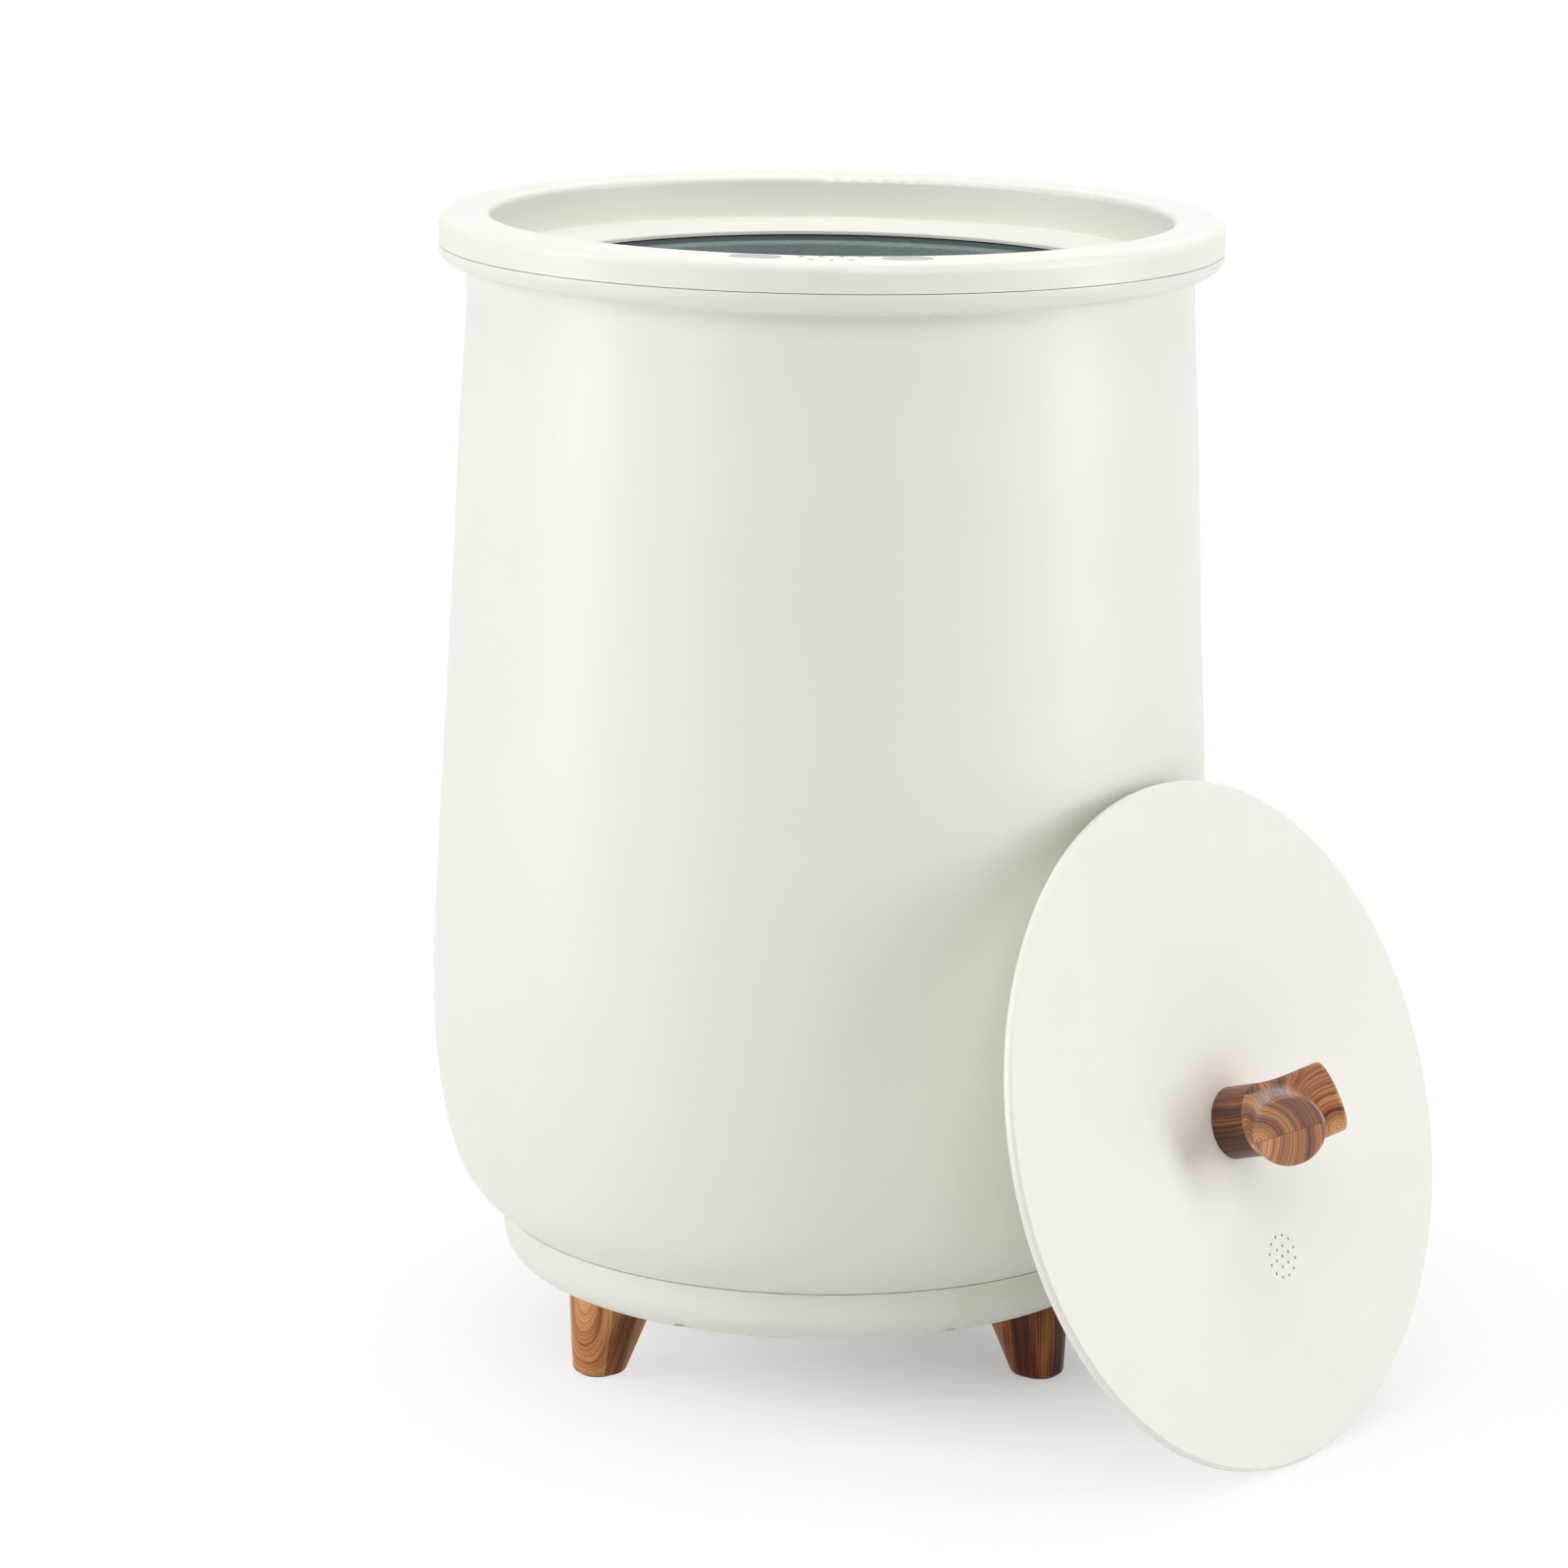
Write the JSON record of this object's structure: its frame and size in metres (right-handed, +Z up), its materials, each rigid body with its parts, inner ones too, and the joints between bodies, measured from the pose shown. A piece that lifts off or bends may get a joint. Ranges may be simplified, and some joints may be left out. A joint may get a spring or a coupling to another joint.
{
  "type": "bucket towel warmer",
  "caption": "Free-standing bucket towel warmer with a belly-shaped shell, metal liner, rim controls, splayed wooden feet and a lift-off lid with a forked wooden grip.",
  "frame": {"origin": "point of the floor under the bucket's axis", "axes": "+Z up along the bucket's axis, control panel towards -Y, lid leaning at +X -Y"},
  "size_m": [0.4311, 0.4083, 0.494],
  "materials": {
    "cream_plastic": "satin warm white moulded plastic",
    "liner_aluminium": "satin blue-grey anodised liner",
    "silicone": "translucent grey silicone",
    "seal_rubber": "matte dark grey",
    "heater_silicone": "brick-red silicone heating blanket",
    "felt": "white needled felt",
    "foam": "fine white foam",
    "steel": "zinc plated",
    "brass": "turned",
    "black_plastic": "fine spark-eroded",
    "foot_rubber": "matte dark rubber",
    "walnut": "lacquered, dark heartwood with light streaks",
    "button_grey": "smooth light grey",
    "cap_grey": "smooth light grey",
    "indicator_smoke": "dark smoke light pipe",
    "led_white": "white chip",
    "circuit_board": "green solder mask",
    "relay_blue": "moulded case",
    "wire_grey": "soft insulated wire"
  },
  "bodies": {
    "bucket": {"outer_shell": "cream_plastic", "support_ring": "cream_plastic", "rim_cap": "cream_plastic", "base_cover": "cream_plastic", "inner_bucket": "liner_aluminium", "liner_seal": "seal_rubber", "heating_wrap": "heater_silicone", "insulation_wrap": "felt", "base_insulation": "felt", "base_screws": "steel", "rim_screws": "steel", "cord_gland": "black_plastic", "right_foot": "walnut", "left_foot": "walnut", "rear_foot": "walnut", "right_foot_pad": "foot_rubber", "left_foot_pad": "foot_rubber", "rear_foot_pad": "foot_rubber", "foot_inserts": "brass", "foot_bolts": "steel", "control_board": "circuit_board", "board_screws": "steel", "tact_switches": "black_plastic", "indicator_leds": "led_white", "light_pipes": "indicator_smoke", "power_board": "circuit_board", "power_board_screws": "steel", "power_relay": "relay_blue", "terminal_block": "black_plastic", "filter_capacitor": "relay_blue", "supply_transformer": "black_plastic", "thermostat": "black_plastic", "thermal_fuse": "steel", "temperature_sensor": "steel", "control_lead": "wire_grey", "heater_leads": "wire_grey"},
    "power_button": {"power_button": "button_grey"},
    "timer_button": {"timer_button": "button_grey"},
    "lid": {"lid_top": "cream_plastic", "lid_inner": "cream_plastic", "lid_insulation": "foam", "lid_gasket": "silicone", "handle": "walnut", "handle_insert": "brass", "handle_screw": "steel", "aroma_pad": "felt"},
    "aroma_cap": {"aroma_cap": "cap_grey"}
  },
  "joints": [
    {"name": "power_press", "type": "slide", "parent": "bucket", "child": "power_button", "axis": [0, 0, -1], "range_m": [0, 0.0008], "stiffness_N_per_m": 500},
    {"name": "timer_press", "type": "slide", "parent": "bucket", "child": "timer_button", "axis": [0, 0, -1], "range_m": [0, 0.0008], "stiffness_N_per_m": 500},
    {"name": "lid_lift", "type": "slide", "parent": "bucket", "child": "lid", "axis": [0.0815, -0.0655, 0.9945], "range_m": [0, 0.5]},
    {"name": "aroma_cap_twist", "type": "hinge", "parent": "lid", "child": "aroma_cap", "pos_m": [0.18119, -0.11949, 0.07601], "axis": [-0.7453, 0.5992, -0.2924], "range_deg": [0, 60]}
  ]
}
